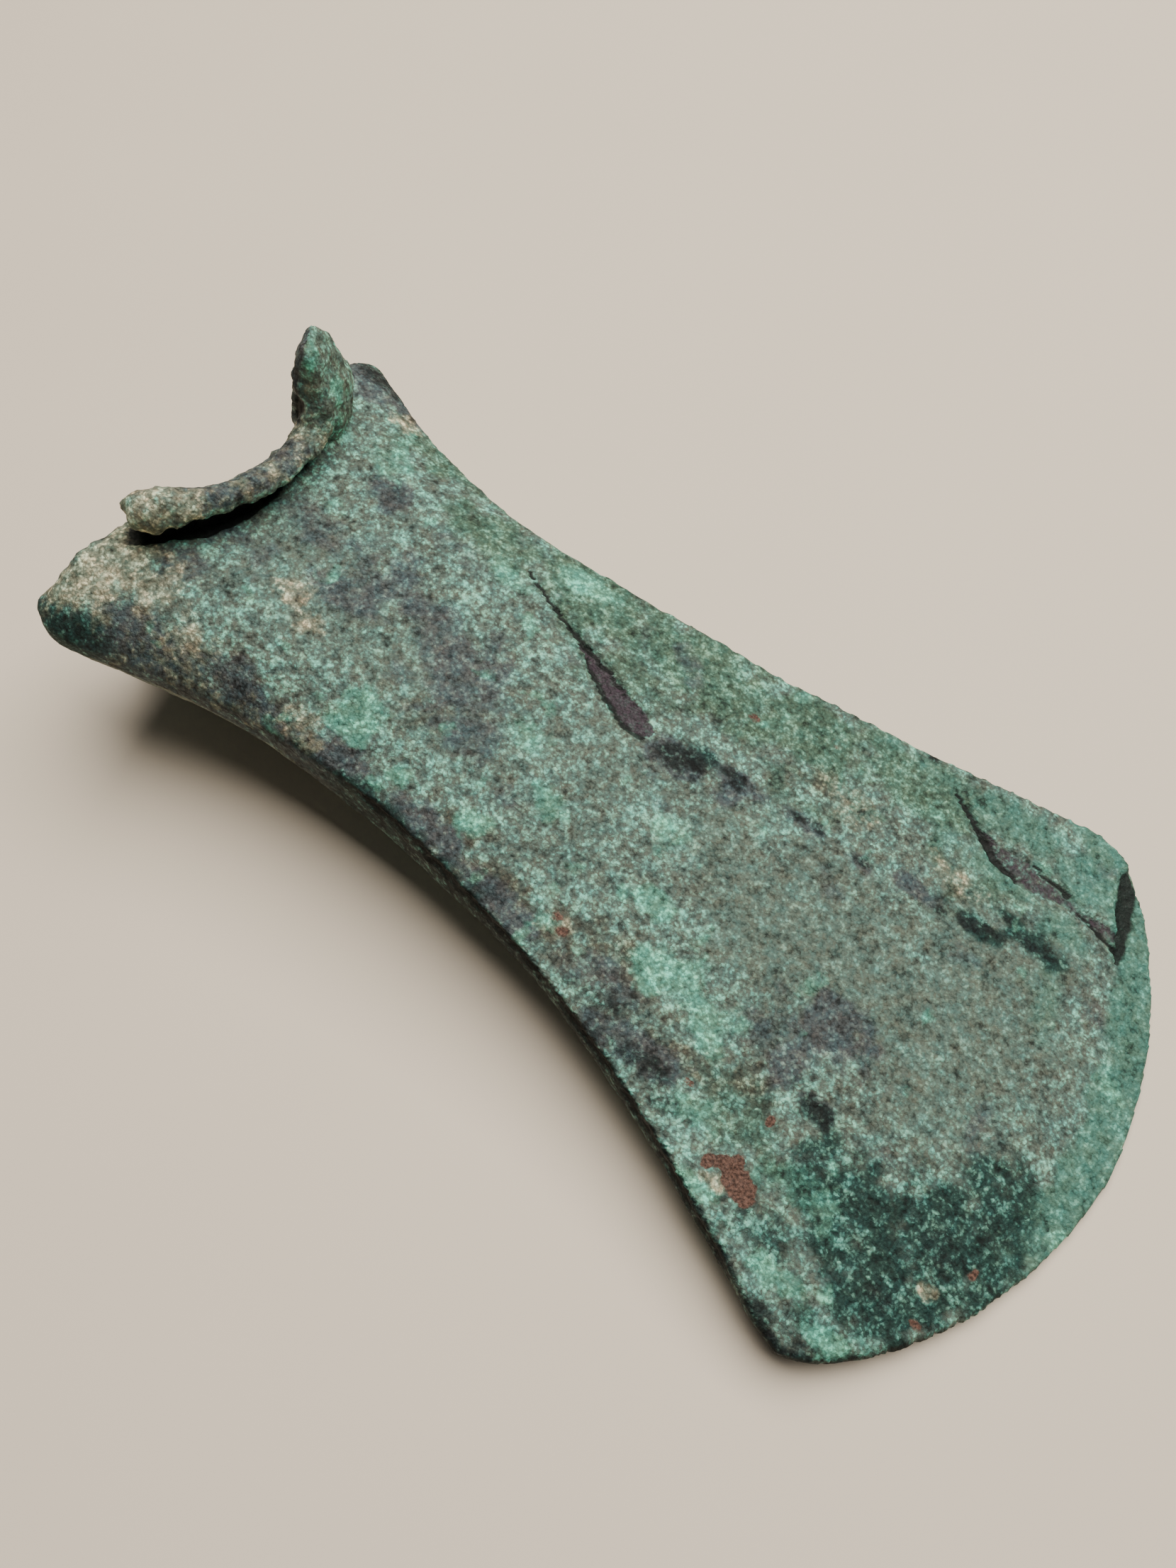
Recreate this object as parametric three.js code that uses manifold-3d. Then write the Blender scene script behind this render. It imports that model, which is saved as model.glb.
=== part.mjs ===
// Bronze axe head with a flared blade, broken across its shaft hole.
// It lies as it was found: the blade's tip and the boss under the butt rest on Z = 0.
// Millimetres. X runs from the butt to the cutting edge, Y to the horn's side, Z up.
import * as THREE from 'three';
import { mergeVertices } from 'three/addons/utils/BufferGeometryUtils.js';
import Module from 'manifold-3d';

const wasm = await Module();
wasm.setup();

// The whole head
const LENGTH = 161.5;
const TILT = THREE.MathUtils.degToRad(10.5);
const EDGE_THICKNESS = 1.2;
const EDGE_BEVEL = 0.6;

// Plan of the two sides: half widths measured from the middle line, and how far their shoulders sag
const NEAR_SIDE = {
  waistAt: 0.27, waist: 24.2, buttGain: 10.2, buttCorner: 11,
  bladeGain: 22.3, power: 2.1, corner: 3.5, sag: 1,
};
const FAR_SIDE = {
  waistAt: 0.26, waist: 26.4, buttGain: 10.4, buttCorner: 6,
  bladeGain: 15.7, power: 1.55, corner: 9, sag: 0.6,
};
const BUTT_POWER = 1.8;
const BLADE_CORNER_AT = 0.84;
const EDGE_RADIUS = 57;
const EDGE_CENTRE_V = 0.2;
const BREAK_SLANT = 0.06;
const BREAK_HOOK = 0.002;
const BREAK_ROUND = 1.2;

// Heights along the head: the top's middle and edge, the underside's edge and middle,
// and how squarely the top and the underside turn over
const HEIGHTS = [
  { at: 0.00, crown: 1.2, shoulder: -4.8, rim: -7.0, belly: -21.5, roll: 6.5, under: 3 },
  { at: 0.12, crown: 1.6, shoulder: -4.6, rim: -7.4, belly: -20.0, roll: 5.2, under: 7 },
  { at: 0.24, crown: 2.0, shoulder: -2.8, rim: -7.8, belly: -17.0, roll: 3.8, under: 8 },
  { at: 0.33, crown: 2.0, shoulder: -0.8, rim: -8.0, belly: -14.4, roll: 2.8, under: 5 },
  { at: 0.41, crown: 2.0, shoulder: 0.0, rim: -7.6, belly: -12.2, roll: 2.3, under: 3 },
  { at: 0.50, crown: 1.8, shoulder: 0.0, rim: -4.8, belly: -10.2, roll: 2.2, under: 2.6 },
  { at: 0.60, crown: 1.5, shoulder: 0.0, rim: -4.2, belly: -8.4, roll: 2.2, under: 2.6 },
  { at: 0.72, crown: 1.1, shoulder: 0.0, rim: -4.0, belly: -6.2, roll: 2.2, under: 2.6 },
  { at: 0.84, crown: 0.6, shoulder: 0.0, rim: -3.0, belly: -4.0, roll: 2.2, under: 2.6 },
  { at: 0.94, crown: 0.2, shoulder: 0.0, rim: -2.3, belly: -2.6, roll: 2.2, under: 2.6 },
];
const EDGE_ROLL = { roll: 2.2, under: 2.6 };

// The shaft hole, of which only the front part is left
const HOLE_RADIUS = 25.5;
const HOLE_U = -18;
const HOLE_V = 5.5;

// The wall around the hole on the top: a lip curled outwards, and a horn where the wall is left tall
const LIP_FROM = -46;
const LIP_TO = 47;
const LIP_INNER = [[0.0, -6], [0.0, 0.0], [0.2, 3.4], [0.8, 5.6], [2.2, 6.8]];
const LIP_OUTER = [[3.8, 7.0], [5.1, 6.4], [5.7, 5.2], [5.2, 4.2], [3.6, 3.4], [2.6, 1.6], [2.6, -6]];
const HORN_INNER = [[-0.8, -6], [-1.2, 0.0], [-1.6, 5.0], [-1.2, 11.0], [-0.4, 16.0]];
const HORN_OUTER = [[0.6, 18.0], [2.1, 16.6], [3.3, 13.4], [5.0, 9.6], [6.3, 6.0], [6.2, 2.6], [5.0, -6]];
const HORN_RISE = [15, 23];
const HORN_FALL = [33, 47];
const LIP_TALLER_AT_BREAK = 0.2;
const LIP_LOWER_AT_END = 0.45;

// The boss round the hole on the underside, cut flat where it rests
const BOSS_WALL = 5;
const BOSS_FLARE = 1.6;
const BOSS_ROOT_DEPTH = 14;
const BOSS_NECK_DEPTH = 22;

// Facets
const STATIONS = 46;
const ACROSS = 30;
const LIP_STEPS = 40;
const BOSS_STEPS = 72;
const CLUSTER_ALONG = 0.88;
const CLUSTER_ACROSS = 0.8;

// How finely the corners are searched for: millimetres back from the side, halvings and turns in radians
const SIDE_STEP = 0.05;
const HALVINGS = 50;
const CORNER_TURNS = [0.3, 1.2];
const FARTHEST_BACK = -8;

const BRONZE = { color: 0x4f6f63, roughness: 0.82, metalness: 0.25 };

const smooth = (from, to, x) => THREE.MathUtils.smoothstep(x, from, to);

// A smooth curve through the named heights, with the cutting edge as its last point
function heightsAt(share) {
  const edge = { at: 1, crown: -EDGE_BEVEL, shoulder: -EDGE_BEVEL, ...EDGE_ROLL };
  edge.rim = -EDGE_BEVEL - EDGE_THICKNESS;
  edge.belly = edge.rim;
  const rows = [...HEIGHTS, edge];
  let i = 0;
  while (i < rows.length - 2 && share > rows[i + 1].at) i += 1;
  const [a, b] = [rows[i], rows[i + 1]];
  const before = rows[Math.max(i - 1, 0)];
  const after = rows[Math.min(i + 2, rows.length - 1)];
  const span = b.at - a.at;
  const t = (share - a.at) / span;
  const result = {};
  for (const key of ['crown', 'shoulder', 'rim', 'belly', 'roll', 'under']) {
    const leave = (b[key] - before[key]) / (b.at - before.at) * span;
    const arrive = (after[key] - a[key]) / (after.at - a.at) * span;
    const t2 = t * t;
    const t3 = t2 * t;
    result[key] = (2 * t3 - 3 * t2 + 1) * a[key] + (t3 - 2 * t2 + t) * leave
      + (3 * t2 - 2 * t3) * b[key] + (t3 - t2) * arrive;
  }
  return result;
}

// Half width of a side before its blade corner is rounded
function openHalf(side, u) {
  const waistAt = side.waistAt * LENGTH;
  if (u <= waistAt) return side.waist + side.buttGain * ((waistAt - u) / waistAt) ** BUTT_POWER;
  const cornerAt = BLADE_CORNER_AT * LENGTH;
  return side.waist + side.bladeGain * ((u - waistAt) / (cornerAt - waistAt)) ** side.power;
}

// The circle that rounds a blade corner: it touches the side's curve and the cutting edge's arc
function cornerCircle(side, centreV) {
  const edgeU = LENGTH - EDGE_RADIUS;
  const reach = EDGE_RADIUS - side.corner;
  const centreAt = (turn) => [edgeU + reach * Math.cos(turn), centreV + reach * Math.sin(turn)];
  const nearest = ([u, v]) => {
    let best = { gap: Infinity, u };
    for (let x = u - 2 * side.corner; x <= u + side.corner; x += SIDE_STEP) {
      const gap = Math.hypot(x - u, openHalf(side, x) - v);
      if (gap < best.gap) best = { gap, u: x };
    }
    return best;
  };
  let [low, high] = CORNER_TURNS;
  for (let i = 0; i < HALVINGS; i += 1) {
    const middle = (low + high) / 2;
    const centre = centreAt(middle);
    const clear = centre[1] < openHalf(side, centre[0]) && nearest(centre).gap > side.corner;
    if (clear) low = middle;
    else high = middle;
  }
  const [u, v] = centreAt(low);
  return { u, v, sideU: nearest([u, v]).u, edgeU: u + side.corner * Math.cos(low), radius: side.corner };
}

const CORNERS = new Map([
  [NEAR_SIDE, cornerCircle(NEAR_SIDE, -EDGE_CENTRE_V)],
  [FAR_SIDE, cornerCircle(FAR_SIDE, EDGE_CENTRE_V)],
]);

// Half width of a side with its corners rounded
function half(side, u) {
  const corner = CORNERS.get(side);
  if (u > corner.sideU) {
    const across = Math.min(u - corner.u, corner.radius);
    return corner.v + Math.sqrt(corner.radius ** 2 - across ** 2);
  }
  const short = Math.max(0, side.buttCorner - Math.max(u - side.breakU, 0));
  return openHalf(side, u) - side.buttCorner + Math.sqrt(side.buttCorner ** 2 - short ** 2);
}

const arcShare = (centre) => (centre / LENGTH) ** 2;

// How far along the head the break is, at v: it slants, and both wings reach back
const breakAt = (v) => BREAK_SLANT * v - BREAK_HOOK * v * v;
NEAR_SIDE.breakU = breakAt(-openHalf(NEAR_SIDE, 0));
FAR_SIDE.breakU = breakAt(openHalf(FAR_SIDE, 0));

// How far a cross line at this station lies along the head, at v
function lineU(centre, v) {
  const off = v - EDGE_CENTRE_V;
  const sagitta = EDGE_RADIUS - Math.sqrt(EDGE_RADIUS ** 2 - off ** 2);
  return centre - arcShare(centre) * sagitta + (1 - arcShare(centre)) * breakAt(v);
}

// Where the cross line of a station meets a side; way is -1 for the near side and 1 for the far side
function endV(side, way, centre) {
  let low = FARTHEST_BACK;
  let high = CORNERS.get(side).edgeU;
  for (let i = 0; i < HALVINGS; i += 1) {
    const u = (low + high) / 2;
    if (u < lineU(centre, way * half(side, u))) low = u;
    else high = u;
  }
  return way * half(side, low);
}

// One ring of the head: the top from near to far, then the underside back again
function ring(centre) {
  const h = heightsAt(centre / LENGTH);
  const nearV = endV(NEAR_SIDE, -1, centre);
  const farV = endV(FAR_SIDE, 1, centre);
  const short = THREE.MathUtils.clamp(BREAK_ROUND - centre, 0, BREAK_ROUND);
  const inset = BREAK_ROUND - Math.sqrt(BREAK_ROUND ** 2 - short ** 2);
  const top = [];
  const under = [];
  for (let i = 0; i <= ACROSS; i += 1) {
    const x = 2 * i / ACROSS - 1;
    const s = (1 - CLUSTER_ACROSS) * x + CLUSTER_ACROSS * Math.sin(x * Math.PI / 2);
    const v = THREE.MathUtils.lerp(nearV, farV, (s + 1) / 2);
    const u = lineU(centre, v);
    const shoulder = h.shoulder * (s < 0 ? NEAR_SIDE.sag : FAR_SIDE.sag);
    const upper = THREE.MathUtils.lerp(h.crown, shoulder, Math.abs(s) ** h.roll);
    const lower = THREE.MathUtils.lerp(h.belly, h.rim, Math.abs(s) ** h.under);
    top.push([u, v, upper - inset]);
    under.unshift([u, v, lower + inset]);
  }
  return [...top, ...under];
}

// Joins rings of equal length into a closed geometry
function loft(rings, closeEnds) {
  const count = rings[0].length;
  const index = [];
  for (let j = 0; j < rings.length - 1; j += 1) {
    for (let i = 0; i < count; i += 1) {
      const a = j * count + i;
      const b = j * count + (i + 1) % count;
      index.push(a, b, b + count, a, b + count, a + count);
    }
  }
  const last = (rings.length - 1) * count;
  for (let i = 0; closeEnds && i < count / 2 - 1; i += 1) {
    const j = count - 1 - i;
    index.push(i, j, j - 1, i, j - 1, i + 1);
    index.push(last + i, last + j - 1, last + j, last + i, last + i + 1, last + j - 1);
  }
  const geometry = new THREE.BufferGeometry();
  geometry.setAttribute('position', new THREE.Float32BufferAttribute(rings.flat(2), 3));
  geometry.setIndex(index);
  return geometry;
}

// A closed geometry as a solid, turned inside out first where its faces point in
function solid(geometry) {
  const merged = mergeVertices(geometry, 1e-5);
  const points = merged.getAttribute('position').array;
  const triangles = Uint32Array.from(merged.getIndex().array);
  let volume = 0;
  const corner = [new THREE.Vector3(), new THREE.Vector3(), new THREE.Vector3()];
  for (let i = 0; i < triangles.length; i += 3) {
    for (let k = 0; k < 3; k += 1) corner[k].fromArray(points, 3 * triangles[i + k]);
    volume += corner[0].dot(corner[1].cross(corner[2]));
  }
  if (volume < 0) triangles.reverse();
  return new wasm.Manifold(new wasm.Mesh({ numProp: 3, vertProperties: points, triVerts: triangles }));
}

function body() {
  const rings = [];
  for (let i = 0; i <= STATIONS; i += 1) {
    const t = i / STATIONS;
    const share = t - CLUSTER_ALONG * Math.sin(2 * Math.PI * t) / (2 * Math.PI);
    rings.push(ring(LENGTH * share));
  }
  return solid(loft(rings, true));
}

// The wall round the hole, as a section carried along an arc
function lip() {
  const rings = [];
  for (let i = 0; i <= LIP_STEPS; i += 1) {
    const degrees = THREE.MathUtils.lerp(LIP_FROM, LIP_TO, i / LIP_STEPS);
    const turn = THREE.MathUtils.degToRad(degrees);
    const horn = smooth(...HORN_RISE, degrees) * (1 - smooth(...HORN_FALL, degrees));
    const height = 1 + LIP_TALLER_AT_BREAK * (1 - smooth(LIP_FROM, 0, degrees))
      - LIP_LOWER_AT_END * smooth(0, LIP_TO, degrees);
    const low = [...LIP_INNER, ...LIP_OUTER];
    const tall = [...HORN_INNER, ...HORN_OUTER];
    rings.push(low.map(([out, up], k) => {
      const r = HOLE_RADIUS + THREE.MathUtils.lerp(out, tall[k][0], horn);
      const w = THREE.MathUtils.lerp(up > 0 ? up * height : up, tall[k][1], horn);
      return [HOLE_U + r * Math.cos(turn), HOLE_V + r * Math.sin(turn), w];
    }));
  }
  return solid(loft(rings, true));
}

// The boss under the butt, full round here and cut to size later
function boss() {
  const foot = HOLE_RADIUS + BOSS_WALL;
  const root = foot + BOSS_FLARE;
  const depth = LENGTH * Math.tan(TILT);
  const outer = [[foot, -2 * depth], [foot, -BOSS_NECK_DEPTH], [root, -BOSS_ROOT_DEPTH]];
  const section = [[0, -2 * depth], ...outer, [0, -BOSS_ROOT_DEPTH]];
  const shape = new THREE.LatheGeometry(section.map(([r, w]) => new THREE.Vector2(r, w)), BOSS_STEPS);
  shape.rotateX(Math.PI / 2);
  shape.translate(HOLE_U, HOLE_V, 0);
  return solid(bare(shape));
}

// The same triangles with positions only
function bare(geometry) {
  const result = new THREE.BufferGeometry();
  result.setAttribute('position', geometry.getAttribute('position').clone());
  result.setIndex(geometry.getIndex());
  return result;
}

function hole() {
  const shape = new THREE.CylinderGeometry(HOLE_RADIUS, HOLE_RADIUS, LENGTH, BOSS_STEPS);
  shape.rotateX(Math.PI / 2);
  shape.translate(HOLE_U, HOLE_V, 0);
  return solid(bare(shape));
}

// Everything behind the break
function behindBreak() {
  const shape = new THREE.BoxGeometry(LENGTH, 2 * LENGTH, LENGTH);
  shape.translate(-LENGTH / 2 + BREAK_ROUND, 0, 0);
  shape.rotateZ(-Math.atan(BREAK_SLANT));
  return solid(bare(shape));
}

// Everything below the table, in the head's own tilted frame
function belowTable() {
  const shape = new THREE.BoxGeometry(4 * LENGTH, 2 * LENGTH, LENGTH);
  shape.translate(0, 0, -LENGTH / 2 - tableDrop());
  shape.rotateY(-TILT);
  return solid(bare(shape));
}

// Height of the head's origin above the table when the cutting edge's tip touches it
function tableDrop() {
  return LENGTH * Math.sin(TILT) + (EDGE_BEVEL + EDGE_THICKNESS) * Math.cos(TILT);
}

function axeHead() {
  const block = body().add(boss().subtract(behindBreak())).subtract(hole());
  const whole = block.add(lip()).subtract(belowTable());
  const mesh = whole.getMesh();
  const geometry = new THREE.BufferGeometry();
  geometry.setAttribute('position', new THREE.Float32BufferAttribute(mesh.vertProperties, 3));
  geometry.setIndex([...mesh.triVerts]);
  geometry.rotateY(TILT);
  geometry.computeBoundingBox();
  const { min, max } = geometry.boundingBox;
  geometry.translate(-(min.x + max.x) / 2, -(min.y + max.y) / 2, -min.z);
  const result = new THREE.Mesh(geometry, new THREE.MeshStandardMaterial(BRONZE));
  result.name = 'axe_head';
  return result;
}

const part = new THREE.Group();
part.add(axeHead());
export default part;
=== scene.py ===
"""A cast bronze axe head with a green patina, broken across its shaft hole, lying on a pale floor."""

import math

import bmesh
import bpy
from bpy.props import FloatProperty, FloatVectorProperty, PointerProperty
from mathutils import Matrix, Vector, noise


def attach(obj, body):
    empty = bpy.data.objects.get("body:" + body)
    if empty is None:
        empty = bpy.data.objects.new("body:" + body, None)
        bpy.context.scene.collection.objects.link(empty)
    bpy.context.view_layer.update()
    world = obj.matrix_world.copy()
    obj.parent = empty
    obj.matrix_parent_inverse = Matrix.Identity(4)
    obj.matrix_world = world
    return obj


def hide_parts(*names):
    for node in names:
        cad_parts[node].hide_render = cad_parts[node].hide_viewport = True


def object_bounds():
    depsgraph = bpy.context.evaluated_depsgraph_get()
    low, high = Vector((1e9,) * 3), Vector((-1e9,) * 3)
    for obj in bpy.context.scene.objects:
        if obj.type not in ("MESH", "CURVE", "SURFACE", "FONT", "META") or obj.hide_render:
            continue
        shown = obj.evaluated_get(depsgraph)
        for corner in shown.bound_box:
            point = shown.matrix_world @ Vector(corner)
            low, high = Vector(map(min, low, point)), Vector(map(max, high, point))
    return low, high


bl_info = {
    "name": "Bronze Axe Head",
    "version": (1, 0, 0),
    "blender": (4, 5, 0),
    "location": "View3D > Sidebar > Axe Head",
    "description": "Builds a weathered cast axe head and the stage it lies on",
    "category": "Add Mesh",
}

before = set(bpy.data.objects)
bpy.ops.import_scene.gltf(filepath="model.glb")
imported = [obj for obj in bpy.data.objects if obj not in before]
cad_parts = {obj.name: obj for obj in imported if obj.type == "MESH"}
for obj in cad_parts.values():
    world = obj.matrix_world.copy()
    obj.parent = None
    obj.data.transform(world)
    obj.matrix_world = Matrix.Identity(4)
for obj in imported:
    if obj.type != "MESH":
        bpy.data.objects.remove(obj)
CAD_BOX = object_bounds()

MM = 0.001

# The head's own frame, in millimetres: u from the break to the cutting edge along the top, v across
# towards the horn, w up from the top's edge. The head lies tilted in the part's frame.
TILT = math.radians(10.5)
LENGTH = 161.5
EDGE_BEVEL = 0.6
EDGE_UNDER = 1.8
U_ORIGIN_X = CAD_BOX[1][0] / MM - LENGTH * math.cos(TILT) + EDGE_BEVEL * math.sin(TILT)
V_ORIGIN_Y = 1.85
W_ORIGIN_Z = LENGTH * math.sin(TILT) + EDGE_UNDER * math.cos(TILT)

# The shaft hole, the cutting edge's arc and the break, in the head's frame
HOLE_U = -18.0
HOLE_V = 5.5
HOLE_RADIUS = 25.5
EDGE_RADIUS = 57.0
EDGE_CENTRE_V = 0.2
BREAK_SLANT = 0.06
BREAK_HOOK = 0.002

# Lines on the top, which are cracks, the border of the first scar and the wedge at the far corner, carved and
# painted
# black as painted shade in them: u, v, half width and depth along each
CRACKS = (
    ((46.2, 19.2, 0.18, 0.3), (51.2, 17.3, 0.32, 0.7), (55.8, 15.8, 0.36, 0.8), (59.6, 14.4, 0.42, 0.8),
     (62.6, 13.9, 0.35, 0.5), (67.0, 12.8, 0.3, 0.4), (70.5, 11.6, 0.25, 0.2)),
    ((62.6, 12.5, 0.25, 0.4), (66.5, 10.2, 0.5, 0.5), (71.0, 8.1, 0.55, 0.5), (74.8, 7.0, 0.45, 0.4),
     (76.8, 7.2, 0.25, 0.2)),
    ((117.2, 32.9, 0.2, 0.2), (120.8, 31.2, 0.45, 0.6), (124.1, 29.4, 0.8, 0.8), (127.2, 27.6, 0.9, 0.8),
     (131.0, 26.8, 0.5, 0.5)),
    ((132.5, 30.8, 0.25, 0.4), (135.6, 30.4, 0.4, 0.5), (139.0, 30.0, 0.3, 0.4)),
    ((145.4, 38.8, 1.5, 0.5), (146.6, 34.8, 1.4, 0.7), (148.2, 30.6, 1.0, 0.8), (149.0, 27.9, 0.7, 0.8),
     (149.6, 25.6, 0.3, 0.3)),
    ((141.5, 28.8, 0.3, 0.3), (145.0, 27.8, 0.4, 0.4), (148.8, 27.2, 0.5, 0.5)),
)

# Flaked scars on the top, purple-brown and shallow: how dark each is, then u, v, half width and depth along it
SCARS = (
    (1.0, (60.6, 13.9, 0.5, 0.3), (63.4, 12.9, 1.2, 0.6), (67.0, 11.7, 1.45, 0.6), (71.3, 10.0, 1.8, 0.6),
     (74.4, 9.1, 1.9, 0.5), (76.0, 8.7, 1.5, 0.2)),
    (0.58, (118.5, 32.0, 0.4, 0.2), (122.5, 30.5, 0.6, 0.2), (127.0, 28.9, 1.6, 0.5), (131.4, 28.4, 2.5, 0.5),
     (135.6, 28.7, 1.8, 0.5), (139.0, 28.9, 0.9, 0.4), (143.0, 28.8, 0.9, 0.4), (147.2, 29.2, 1.2, 0.4)),
)

# Corners worn round: u, v, lowest and highest w, reach; and how many times they are rubbed
WORN_CORNERS = ((136.0, -45.8, -9.0, 3.0, 5.0), (1.0, -15.5, 2.4, 12.0, 5.0))
WEAR_TURNS = 30
RUB = 0.5

# Points of the solid closer than this, in metres, are one
WELD = 1e-6

# Noises of the relief and the patina: the size of their features in millimetres, seed and octaves
NOISES = {
    "swell": (15.0, 1.0, 2),
    "lumps": (3.0, 2.0, 3),
    "fine_lumps": (1.4, 5.0, 3),
    "lip_lumps": (3.8, 7.0, 3),
    "fine_lip_lumps": (1.8, 8.0, 3),
    "break_lumps": (4.5, 9.0, 3),
    "fine_break_lumps": (2.0, 10.0, 3),
    "nicks": (6.0, 11.0, 2),
    "waver": (4.0, 3.0, 3),
    "line_u": (2.0, 12.0, 3),
    "line_v": (2.0, 13.0, 3),
    "gap_edge": (2.5, 14.0, 3),
    "groove_gaps": (7.0, 15.0, 3),
    "groove_edge": (3.0, 16.0, 3),
    "knob": (2.6, 17.0, 3),
    "slate_clouds": (9.0, 20.0, 3),
    "mint_clouds": (5.0, 21.0, 3),
    "lip_cream": (4.0, 22.0, 3),
    "wall_cream": (4.0, 23.0, 3),
    "horn_mint": (4.0, 24.0, 3),
}
NOISE_DECAY = 0.9
NOISE_LACUNARITY = 2.1

# Fades over the head, each from where it begins to where it is full. A facing is a share of the normal, a
# turn is in degrees about the hole, and the others are millimetres of u, of w or away from the hole's wall.
TOP_FACING = (0.15, 0.5)
TOP_HEIGHT = (2.6, 4.0)
LIP_HEIGHT = (2.0, 3.2)
LIP_REACH = (8.5, 10.0)
BREAK_REACH = (0.3, 3.0)
WALL_FACING = (0.3, 0.75)
FAR_FACING = (0.3, 0.8)
UNDER_FACING = (-0.5, 0.1)
BORE_FACING = (0.15, 0.65)
BORE_REACH = (4, 6)
BUTT_END = (42, 58)
WING_END = (5, 14)
# Where the painted shade of the near side turns near-black
WALL_SHADE_START = (40, 56)
HORN_TURN = (16, 24)
SHOULDER_START = (95, 125)
SHOULDER_FACING = (0.35, 0.8)
NOTCH_FOOT = (3.5, 5.0)
NOTCH_HEAD = (8, 10)
# The gap fades place the painted shadow in front of the lip
GAP_HEIGHT = (3.2, 4.4)
GAP_NARROWS = (-30, 15)
GAP_START = (-52, -46)
GAP_END = (5, 20)
STRIP_RIM = (4.5, 8.0)
STRIP_START = (-34, -8)

# Bands over the head, each with its two ends and the soft width outside them
KNOB_TURNS = (-60, -36, 8)
NOTCH_TURNS = (18.0, 20.5, 1.5)
LIP_SLATE_TURNS = (-26, 6, 6)
# The groove bands place the near groove and the painted shade in it
GROOVE_U = (50, 124, 4)
GROOVE_W = (-1.5, -0.35, 0.35)
# The rim bands place a painted highlight along the near side's lower edge
RIM_HIGHLIGHT_U = (8, 42, 6)
RIM_HIGHLIGHT_FACING = (-0.85, -0.25, 0.15)

# Heights, depths and widths of the small relief, in millimetres
RIM_SWELL = 0.25
SHOULDER_SWELL = 0.6
KNOB_SWELL = 0.6
NOTCH_DEPTH = 0.8
# The gap's depth and widths carve and place the painted shadow in front of the lip
GAP_DEPTH = 0.5
GAP_INNER = 1.5
GAP_OUTER = 5.0
GROOVE_DEPTH = 0.45
LINE_WAVER = 0.3

# Soft edges of the cracks, scars and patches, as shares of their half width or radius
CRACK_EDGE = (0.6, 1.5)
SCAR_EDGE = (0.7, 1.15)
PATCH_EDGE = (0.3, 1.5)
PATCH_WAVER = 0.6
PATCH_LIMIT = 2.0
NO_LINE = (9.0, 0.0)

# Tones and relief of the patina that belong to no region
COOL_TINT = (0.80, 1.03, 1.03, 1)
WARM_TINT = (1.26, 0.98, 0.84, 1)
# A painted highlight, light grey, along the near side's lower edge
RIM_HIGHLIGHT_TONE = (0.20, 0.22, 0.17, 1)
# Painted shade: the near-black put into the cracks, the gap before the lip, the near groove and the notch
CREVICE_SHADE_TONE = (0.006, 0.008, 0.007, 1)
GRAIN_BEND = 0.25 * MM
BUMP_HEIGHT = 0.25 * MM

# The stage, in metres and watts: half the floor's side, the soft light above and the faint light of the room
FLOOR_HALF = 2.0
OVERHEAD_PLACE = (0.2, 0.31, 0.9)
OVERHEAD_SIZE = (1.2, 1.0)
OVERHEAD_POWER = 19.6
OVERHEAD_TONE = (1.0, 0.955, 0.88)
ROOM_TONE = (0.95, 0.96, 1.0, 1)
ROOM_STRENGTH = 0.05
SENSOR_HEIGHT = 36
CLIP_START = 0.01

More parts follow.
